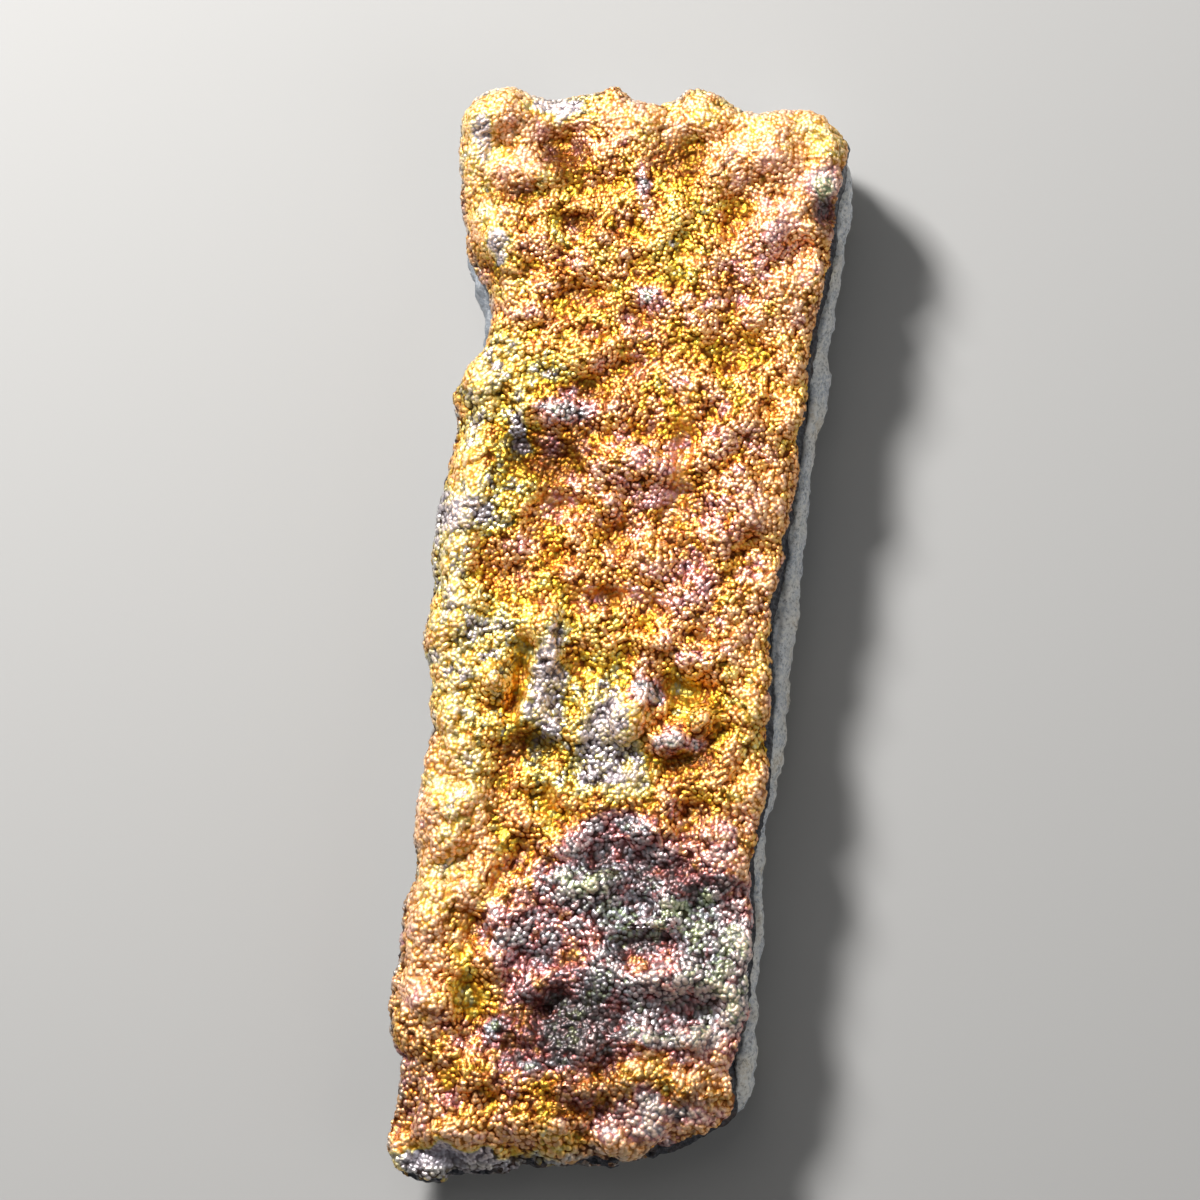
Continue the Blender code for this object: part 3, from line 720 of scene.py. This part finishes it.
def film_colour(nodes, join, coordinates, chance):
    """The ramp's colour for the film number, with a speckle and a little change from bead to bead."""
    speckle = noise_texture(nodes, join, coordinates, SPECKLE_WIDTH, 2.0)
    speckle = rescale(nodes, join, speckle, 0.3, 0.7, -SPECKLE_SPREAD, SPECKLE_SPREAD)
    film_number = maths(nodes, join, "ADD", stored(nodes, "film"), speckle)
    chance = rescale(nodes, join, chance, 0.0, 1.0, -BEAD_FILM_SPREAD, BEAD_FILM_SPREAD)
    film_number = maths(nodes, join, "ADD", film_number, chance, clamp=True)
    stops = [(max(FILM[name], 0.0), FILM_COLOURS[name]) for name in FILM]
    return colour_ramp(nodes, join, film_number, stops)


print(len(FILM), "colours in the film's ramp")

# %% Rim sheen, highlight, flanks and creases: painted light and shade
# Grey painted sheen on the rims where the beads roll over the edge
RIM_COLOUR, RIM_PATCH_WIDTH = (0.62, 0.62, 0.62), 1.6 * MM
# Pale, pinkish painted highlight on the tops
HIGHLIGHT_COLOUR, HIGHLIGHT_COVER = (0.95, 0.71, 0.53), 0.42
# Painted light reflected from bead to bead, and painted shade, on the beads' flanks
FLANK_SHADE = (0.82, 0.71, 0.62)
# Painted shade in the creases and hollows
CREASE_SHADE = (0.12, 0.07, 0.05)
HOLLOW_SHADE_COVER = 0.80


def rim_sheen(nodes, join, coordinates, colour):
    """The colour with grey patches of painted sheen along the rims that the beads roll over."""
    patchy = noise_texture(nodes, join, coordinates, RIM_PATCH_WIDTH, 2.0)
    share = rescale(nodes, join, patchy, 0.42, 0.60, 0.25, 1.0)
    share = maths(nodes, join, "MULTIPLY", stored(nodes, "rim"), share, clamp=True)
    return mix_colours(nodes, join, share, colour, RIM_COLOUR)


def highlighted(nodes, join, top, colour):
    """The colour with the pale painted highlight on the beads' tops."""
    share = rescale(nodes, join, top, 0.1, 0.6, 0.2, 1.0)
    share = maths(nodes, join, "MULTIPLY", stored(nodes, "highlight"), share)
    share = maths(nodes, join, "MULTIPLY", share, HIGHLIGHT_COVER, clamp=True)
    return mix_colours(nodes, join, share, colour, HIGHLIGHT_COLOUR)


def flank_colour(nodes, join, colour):
    """The colour taken twice, and a little browner: painted reflected light and painted shade on the flanks.
    """
    twice = mix_colours(nodes, join, 1.0, colour, colour, "MULTIPLY")
    return mix_colours(nodes, join, 1.0, twice, FLANK_SHADE, "MULTIPLY")


def with_crease_shade(nodes, join, top, open_share, colour):
    """The colour with painted shade, a deep brown, in the creases between beads and clusters and in the
    hollows.
    """
    low = rescale(nodes, join, top, 0.0, 0.26, 0.92, 0.0)
    between = rescale(nodes, join, stored(nodes, "cluster_top"), 0.15, 0.60, 0.68, 0.0)
    low = maths(nodes, join, "MAXIMUM", low, between)
    low = maths(nodes, join, "MULTIPLY", low, open_share)
    sunk = maths(nodes, join, "MULTIPLY", stored(nodes, "hollow_shade"), HOLLOW_SHADE_COVER)
    crease = maths(nodes, join, "MAXIMUM", low, sunk)
    darkened = mix_colours(nodes, join, 1.0, colour, CREASE_SHADE, "MULTIPLY")
    return mix_colours(nodes, join, crease, colour, darkened)


print("full bloom hides", HIGHLIGHT_COVER, "of the film's colour, and a full hollow", HOLLOW_SHADE_COVER)

# %% The iridescent skin
HIGHLIGHT_STRONG = (0.5, HIGHLIGHT_MOST)  # from some painted highlight to the most
SKIN_GRAIN_WIDTH = 0.30 * MM
GRAIN_SHARE = 0.50  # of the bump
BEAD_BUMP = 0.065 * MM


def make_skin():
    """Film colours over metal, with a paler painted highlight on the tops and browner painted shade in the
    creases.
    """
    material, nodes, join, shader, coordinates = new_material("iridescent_skin")
    above, chance = read_beads(nodes, join)
    top = maths(nodes, join, "ADD", above, BEAD_LEVEL)
    open_share = rescale(nodes, join, stored(nodes, "highlight"), *HIGHLIGHT_STRONG, 1.0, 0.42)
    colour = film_colour(nodes, join, coordinates, chance)
    colour = rim_sheen(nodes, join, coordinates, colour)
    flank = flank_colour(nodes, join, colour)
    flank_share = rescale(nodes, join, top, 0.10, 0.62, 0.75, 0.0)
    flank_share = maths(nodes, join, "MULTIPLY", flank_share, open_share)
    colour = highlighted(nodes, join, top, colour)
    colour = mix_colours(nodes, join, flank_share, colour, flank)
    colour = with_crease_shade(nodes, join, top, open_share, colour)
    join(colour, shader.inputs["Base Color"])
    grain = noise_texture(nodes, join, coordinates, SKIN_GRAIN_WIDTH, 3.0)
    roughness = rescale(nodes, join, grain, 0.3, 0.7, 0.62, 0.40)
    softer = rescale(nodes, join, stored(nodes, "highlight"), *HIGHLIGHT_STRONG, 0.0, 0.16)
    join(maths(nodes, join, "ADD", roughness, softer), shader.inputs["Roughness"])
    shader.inputs["Metallic"].default_value = 0.9
    shader.inputs["Coat Weight"].default_value = 0.08
    shader.inputs["Coat Roughness"].default_value = 0.25
    relief = maths(nodes, join, "ADD", above, maths(nodes, join, "MULTIPLY", grain, GRAIN_SHARE))
    bump(nodes, join, shader, relief, BEAD_BUMP, 1.0)
    return material


skin = make_skin()
print("made", skin.name)

# %% [markdown]
# Where the crust is broken, goethite shows its true colour: blue-black, with upright fibres and a glint
# here and there. The fibres are stretched noise: the coordinates are squeezed along the height.

# %% The broken edge
FIBRE_WIDTH, FIBRE_BUMP = 0.35 * MM, 0.15 * MM
# from the dark between the fibres to a glint
FIBRE_STOPS = [
    (0.30, (0.012, 0.012, 0.016)), (0.55, (0.035, 0.038, 0.050)), (0.68, (0.085, 0.085, 0.105)),
    (0.80, (0.22, 0.20, 0.21)),
]
RUST_COLOUR, RUST_WIDTH = (0.12, 0.055, 0.02), 2.6 * MM


def make_broken():
    """Black fibrous iron oxide with small glints."""
    material, nodes, join, shader, coordinates = new_material("broken_goethite")
    squeeze = nodes.new("ShaderNodeMapping")
    squeeze.inputs["Scale"].default_value = (1.0, 1.0, COLUMN_SQUEEZE)
    join(coordinates.outputs["Object"], squeeze.inputs["Vector"])
    fibre = nodes.new("ShaderNodeTexNoise")
    fibre.inputs["Scale"].default_value = 1 / FIBRE_WIDTH
    fibre.inputs["Detail"].default_value = 4.0
    join(squeeze.outputs["Vector"], fibre.inputs["Vector"])
    colour = colour_ramp(nodes, join, fibre.outputs["Fac"], FIBRE_STOPS)
    rust = noise_texture(nodes, join, coordinates, RUST_WIDTH)
    rust_share = rescale(nodes, join, rust, 0.55, 0.75, 0.0, 0.5)
    colour = mix_colours(nodes, join, rust_share, colour, RUST_COLOUR)
    join(colour, shader.inputs["Base Color"])
    join(rescale(nodes, join, fibre.outputs["Fac"], 0.3, 0.7, 0.6, 0.3), shader.inputs["Roughness"])
    shader.inputs["Metallic"].default_value = 0.45
    bump(nodes, join, shader, fibre.outputs["Fac"], FIBRE_BUMP, 0.7)
    return material


broken_edge = make_broken()
print("made", broken_edge.name)

# %% [markdown]
# The crust gets the skin on its face and the broken stone on its wall. Its underside is closed with one
# flat face, since it lies on the pale layer and is never seen. The whole crust would be too heavy for
# one piece, so four planes part it into bands along the slab. Each band is closed at its cuts, and
# neighbours meet there point for point.

# %% Close the crust and give its faces their materials
WALL_FROM = 0.76  # share of broken stone from which a face shows it
crust_mesh.materials.clear()
crust_mesh.materials.append(skin)
crust_mesh.materials.append(broken_edge)
whole = bmesh.new()
whole.from_mesh(crust_mesh)
share_layer = whole.verts.layers.float["broken"]
for face in whole.faces:
    face.smooth = True
    share = sum(vert[share_layer] for vert in face.verts) / len(face.verts)
    face.material_index = 1 if share > WALL_FROM else 0
open_edges = [edge for edge in whole.edges if edge.is_boundary]
closing = bmesh.ops.contextual_create(whole, geom=open_edges)["faces"]
for face in closing:
    face.material_index = 1
    face.smooth = False
    face.normal_update()
    if face.normal.z > 0:
        face.normal_flip()
whole.to_mesh(crust_mesh)
whole.free()
print("crust closed with", len(closing), "face")

# %% Part the crust into bands
BANDS = 5


def closed_at(mesh, height_along, keep_above):
    """Cuts a bmesh square across the slab, drops one side and closes the cut with a flat face."""
    geometry = mesh.verts[:] + mesh.edges[:] + mesh.faces[:]
    made = bmesh.ops.bisect_plane(
        mesh, geom=geometry, dist=1e-8, plane_co=(0, height_along, 0), plane_no=(0, 1, 0),
        clear_outer=not keep_above, clear_inner=keep_above,
    )["geom_cut"]
    cut_edges = [item for item in made if isinstance(item, bmesh.types.BMEdge)]
    for edge in cut_edges:
        edge.smooth = False
    for face in bmesh.ops.contextual_create(mesh, geom=cut_edges)["faces"]:
        face.material_index = 1
        face.smooth = False
        face.normal_update()
        if (face.normal.y > 0) == keep_above:
            face.normal_flip()


crust_low, crust_high = pushed[:, 1].min(), pushed[:, 1].max()
cuts = np.linspace(crust_low, crust_high, BANDS + 1)
for band, (lower, upper) in enumerate(zip(cuts, cuts[1:])):
    part = bmesh.new()
    part.from_mesh(crust_mesh)
    if band > 0:
        closed_at(part, lower, True)
    if band < BANDS - 1:
        closed_at(part, upper, False)
    band_mesh = bpy.data.meshes.new(f"crust_{band + 1}")
    part.to_mesh(band_mesh)
    part.free()
    band_mesh.materials.append(skin)
    band_mesh.materials.append(broken_edge)
    piece = link(f"crust_{band + 1}", band_mesh)
    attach(piece, "root")
    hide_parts("goethite_crust")
    band_mesh.calc_loop_triangles()
    print(piece.name, len(band_mesh.loop_triangles), "triangles")

# %% [markdown]
# The pale layer is chalcedony: grainy, grey-white to cream and a little translucent. It shows past the
# crust's right edge as a lumpy ledge. We take its solid, open its top and its resting face, and run a
# few rings inwards there, so that the ledge and the underside have enough points for lumps.

# %% Open the pale layer and ring its flat faces
LEDGE_RINGS = (0.6 * MM, 1.3 * MM, 2.2 * MM, 4.0 * MM)
BASE_RINGS = (1.5 * MM, 3.0 * MM, 5.0 * MM, 7.0 * MM)
TOP_NORMAL, TOP_FROM = 0.99, 0.6  # how level the top's faces are, and how high in the layer
RESTING_HEIGHT = 0.02 * MM
BETWEEN_RINGS = 2 * MM  # above the resting face and below the top
layer_low, layer_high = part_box("pale_layer")
layer_middle = (layer_low + layer_high) / 2
layer_half = (layer_high - layer_low) / 2


def ring_inwards(mesh, edges, steps):
    """Extrudes a ring of edges towards the layer's middle, once for each step, and closes it."""
    origin = mesh.verts.layers.float_vector["origin"]
    for vert in {vert for edge in edges for vert in edge.verts}:
        vert[origin] = vert.co
    for step in steps:
        made = bmesh.ops.extrude_edge_only(mesh, edges=edges)["geom"]
        for vert in (item for item in made if isinstance(item, bmesh.types.BMVert)):
            home = vert[origin]
            vert.co.x = layer_middle.x + (home.x - layer_middle.x) * (1 - step / layer_half.x)
            vert.co.y = layer_middle.y + (home.y - layer_middle.y) * (1 - step / layer_half.y)
        edges = [item for item in made if isinstance(item, bmesh.types.BMEdge) and item.is_boundary]
    bmesh.ops.contextual_create(mesh, geom=edges)


layer_work = bmesh.new()
layer_work.verts.layers.float_vector.new("origin")
layer_work.from_mesh(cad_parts["pale_layer"].data)
bmesh.ops.remove_doubles(layer_work, verts=layer_work.verts, dist=1e-6)
layer_work.normal_update()
layer_work.faces.ensure_lookup_table()
top_faces = [face for face in layer_work.faces if face.normal.z > TOP_NORMAL and face.calc_area() > 0]
top_faces = [face for face in top_faces if face.calc_center_median().z > layer_high.z * TOP_FROM]
base_faces = [face for face in layer_work.faces if max(v.co.z for v in face.verts) < RESTING_HEIGHT]
print("opening", len(top_faces), "top and", len(base_faces), "base triangles")
bmesh.ops.delete(layer_work, geom=top_faces + base_faces, context="FACES")
open_ring = [edge for edge in layer_work.edges if edge.is_boundary]
top_ring = [edge for edge in open_ring if edge.verts[0].co.z > BETWEEN_RINGS]
base_ring = [edge for edge in open_ring if edge.verts[0].co.z <= BETWEEN_RINGS]
bmesh.ops.join_triangles(
    layer_work, faces=layer_work.faces, angle_face_threshold=math.pi, angle_shape_threshold=math.pi
)
ring_inwards(layer_work, top_ring, LEDGE_RINGS)
ring_inwards(layer_work, base_ring, BASE_RINGS)
layer_mesh = bpy.data.meshes.new("pale_layer_stone")
layer_work.to_mesh(layer_mesh)
layer_work.free()
layer_mesh.attributes.remove(layer_mesh.attributes["origin"])
layer_mesh = subdivided(layer_mesh, "pale_layer_stone", 2)
print("pale layer:", len(layer_mesh.vertices), "points")

# %% [markdown]
# Its grains are domes too, in three sizes. Where the crust lies over them they are shallow pits instead,
# so that no grain pushes through it, and they hardly show on the resting face, which stays on the floor.

# %% Push the pale layer into grains and lumps
GRAINS = [(4.2 * MM, 0.75 * MM), (1.3 * MM, 0.32 * MM), (0.65 * MM, 0.20 * MM)]  # width and height
MEAN_GRAIN = 0.4
COVERED_NORMAL, COVERED_SHARE = 0.3, 0.3  # points that look up under the crust sink by this share
RESTING_NORMAL = -0.985  # points that face down this straight lie on the resting face
RESTING_SHARE = 0.04
FLOOR_RIPPLE = 0.02 * MM  # of the lowest points, so that they don't all lie in one plane
crust_faces = [tuple(polygon.vertices) for polygon in crust_mesh.polygons]
cover = BVHTree.FromPolygons([Vector(point.tolist()) for point in pushed], crust_faces)
UP = Vector((0, 0, 1))


def grain_push(point):
    """How far the pale stone stands out at a point."""
    return sum(rise * (dome(point, width) - MEAN_GRAIN) for width, rise in GRAINS)


layer_places = mesh_array(layer_mesh, "co")
layer_normals = mesh_array(layer_mesh, "normal")
for index, (point, normal) in enumerate(zip(layer_places, layer_normals)):
    place = Vector(point.tolist())
    push = grain_push(place)
    covered = cover.ray_cast(place - UP * MM, UP)[0]
    if normal[2] > COVERED_NORMAL and covered is not None:
        push = -abs(push) * COVERED_SHARE
    if normal[2] < RESTING_NORMAL:
        push *= RESTING_SHARE
    layer_places[index] = point + normal * push
ripple = FLOOR_RIPPLE * np.abs(np.sin(layer_places[:, 0] / MM))
layer_places[:, 2] = np.maximum(layer_places[:, 2], ripple)
layer_mesh.vertices.foreach_set("co", layer_places.ravel())
layer_mesh.update()
layer_mesh.shade_smooth()
print("lowest point of the layer:", round(float(layer_places[:, 2].min()) / MM, 3), "mm")

# %% [markdown]
# The chalcedony's colour wanders between grey-white, cream and a bluish grey, with white grains,
# painted shade in the pits of its grain and clearer patches. On its left side it is stained dark. A
# little subsurface light makes it look waxy and not like plaster.

# %% The pale stone
LEFT_FADE = (-10 * MM, -14 * MM)
LEFT_COLOUR = (0.13, 0.15, 0.18)
STONE_WIDTH = 7 * MM
STONE_STOPS = [
    (0.32, (0.54, 0.60, 0.68)), (0.45, (0.70, 0.73, 0.76)), (0.56, (0.78, 0.77, 0.73)),
    (0.68, (0.74, 0.66, 0.52)),
]
CLEAR_COLOUR, CLEAR_WIDTH = (0.46, 0.52, 0.60), 1.9 * MM
GRAIN_COLOUR, GRAIN_WIDTH, GRAIN_BUMP = (0.90, 0.90, 0.87), 0.45 * MM, 0.25 * MM
# Painted shade in the pits, where the grain's bump is lowest
PIT_SHADE = (0.20, 0.20, 0.20)


def make_pale():
    """Waxy, grainy chalcedony."""
    material, nodes, join, shader, coordinates = new_material("pale_stone")
    broad = noise_texture(nodes, join, coordinates, STONE_WIDTH, 3.0)
    colour = colour_ramp(nodes, join, broad, STONE_STOPS)
    grain = noise_texture(nodes, join, coordinates, GRAIN_WIDTH, 4.0, 0.65)
    clear = noise_texture(nodes, join, coordinates, CLEAR_WIDTH, 3.0)
    clear_share = rescale(nodes, join, clear, 0.50, 0.64, 0.0, 0.60)
    colour = mix_colours(nodes, join, clear_share, colour, CLEAR_COLOUR)
    grain_share = rescale(nodes, join, grain, 0.50, 0.60, 0.0, 0.90)
    colour = mix_colours(nodes, join, grain_share, colour, GRAIN_COLOUR)
    pits = rescale(nodes, join, grain, 0.46, 0.36, 0.0, 0.70)
    colour = mix_colours(nodes, join, pits, colour, PIT_SHADE)
    sides = nodes.new("ShaderNodeSeparateXYZ")
    join(coordinates.outputs["Object"], sides.inputs["Vector"])
    left = rescale(nodes, join, sides.outputs["X"], *LEFT_FADE, 0.0, 0.9)
    colour = mix_colours(nodes, join, left, colour, LEFT_COLOUR)
    join(colour, shader.inputs["Base Color"])
    join(rescale(nodes, join, grain, 0.3, 0.7, 0.55, 0.28), shader.inputs["Roughness"])
    shader.inputs["Subsurface Weight"].default_value = 0.25
    shader.inputs["Subsurface Radius"].default_value = (1.0, 0.9, 0.8)
    shader.inputs["Subsurface Scale"].default_value = 0.8 * MM
    bump(nodes, join, shader, grain, GRAIN_BUMP, 0.8)
    return material


pale = make_pale()
layer_mesh.materials.clear()
layer_mesh.materials.append(pale)
layer = link("pale_layer_stone", layer_mesh)
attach(layer, "root")
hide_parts("pale_layer")
print("made", pale.name)

# %% [markdown]
# The stage: a plain pale floor, one soft key light from the upper left, as the shadows under the lumps
# ask for, a broad light above like a window, a weak fill and a dim sky. Metal shows what it reflects, so
# the sky has to be much darker than the key light, or the beads would lose their sparkle.

# %% The floor
FLOOR_HALF = 1.5
FLOOR_COLOUR = (0.36, 0.36, 0.36, 1)


def make_floor():
    """A plain pale floor."""
    sheet = bmesh.new()
    bmesh.ops.create_grid(sheet, x_segments=1, y_segments=1, size=FLOOR_HALF)
    mesh = bpy.data.meshes.new("floor")
    sheet.to_mesh(mesh)
    sheet.free()
    material = bpy.data.materials.new("floor")
    material.use_nodes = True
    shader = material.node_tree.nodes["Principled BSDF"]
    shader.inputs["Base Color"].default_value = FLOOR_COLOUR
    shader.inputs["Roughness"].default_value = 0.8
    mesh.materials.append(material)
    floor = link("floor", mesh)


make_floor()
print("the floor is", 2 * FLOOR_HALF, "m wide")

# %% The lights
LIGHT_COLOUR = (1.0, 0.98, 0.95)
# name, place and size in metres, power in watts
LIGHTS = [
    ("key", (-0.24, 0.29, 0.32), 0.10, 5.0),
    ("window", (-0.3, 0.4, 1.0), 0.9, 2.0),
    ("fill", (0.6, -0.2, 0.35), 0.5, 1.0),
]
SKY_COLOUR, SKY_STRENGTH = (0.96, 0.98, 1.0, 1), 0.07


def area_light(name, place, size, power):
    """A soft square light that faces the slab."""
    data = bpy.data.lights.new(name, "AREA")
    data.size = size
    data.energy = power
    data.color = LIGHT_COLOUR
    light = link(name, data)
    light.location = place
    light.rotation_euler = (-Vector(place)).to_track_quat("-Z", "Y").to_euler()


for light_values in LIGHTS:
    area_light(*light_values)
world = bpy.data.worlds.new("sky")
world.use_nodes = True
background = world.node_tree.nodes["Background"]
background.inputs["Color"].default_value = SKY_COLOUR
background.inputs["Strength"].default_value = SKY_STRENGTH
bpy.context.scene.world = world
bpy.context.scene.view_settings.view_transform = "Standard"
print(len(LIGHTS), "lights and a dim sky")

# %% [markdown]
# The camera looks down on the slab, a little from its right and its lower end, since the photograph
# shows a sliver of those two walls. It is rolled, because the slab leans in the picture. The frame is
# square.

# %% Camera
PIXEL = 0.1095 * MM
PHOTO_PIXELS = 1200
SLAB_PIXEL = (612, 627)  # the slab's middle in the picture
LEAN = math.radians(6.1)
FACE_HEIGHT = 12 * MM
DISTANCE = 0.80
FROM_RIGHT, FROM_BELOW = math.radians(4.5), math.radians(5)
picture_right = Vector((math.cos(LEAN), math.sin(LEAN), 0))
picture_up = Vector((-math.sin(LEAN), math.cos(LEAN), 0))
middle = PHOTO_PIXELS / 2
aim = SLAB_MIDDLE + UP * FACE_HEIGHT
aim += picture_right * (middle - SLAB_PIXEL[0]) * PIXEL - picture_up * (middle - SLAB_PIXEL[1]) * PIXEL
back = (UP + picture_right * math.tan(FROM_RIGHT) - picture_up * math.tan(FROM_BELOW)).normalized()
camera_right = (picture_right - back * picture_right.dot(back)).normalized()
camera_up = back.cross(camera_right)
camera_data = bpy.data.cameras.new("camera")
camera_data.sensor_width = 36
camera_data.lens = camera_data.sensor_width * DISTANCE / (PHOTO_PIXELS * PIXEL)
camera_data.clip_start = 0.01
camera = bpy.data.objects.new("camera", camera_data)
turned = Matrix((camera_right, camera_up, back)).transposed().to_4x4()
camera.matrix_world = Matrix.Translation(aim + back * DISTANCE) @ turned
bpy.context.scene.collection.objects.link(camera)
bpy.context.scene.camera = camera
print("lens", round(camera_data.lens, 1), "mm")
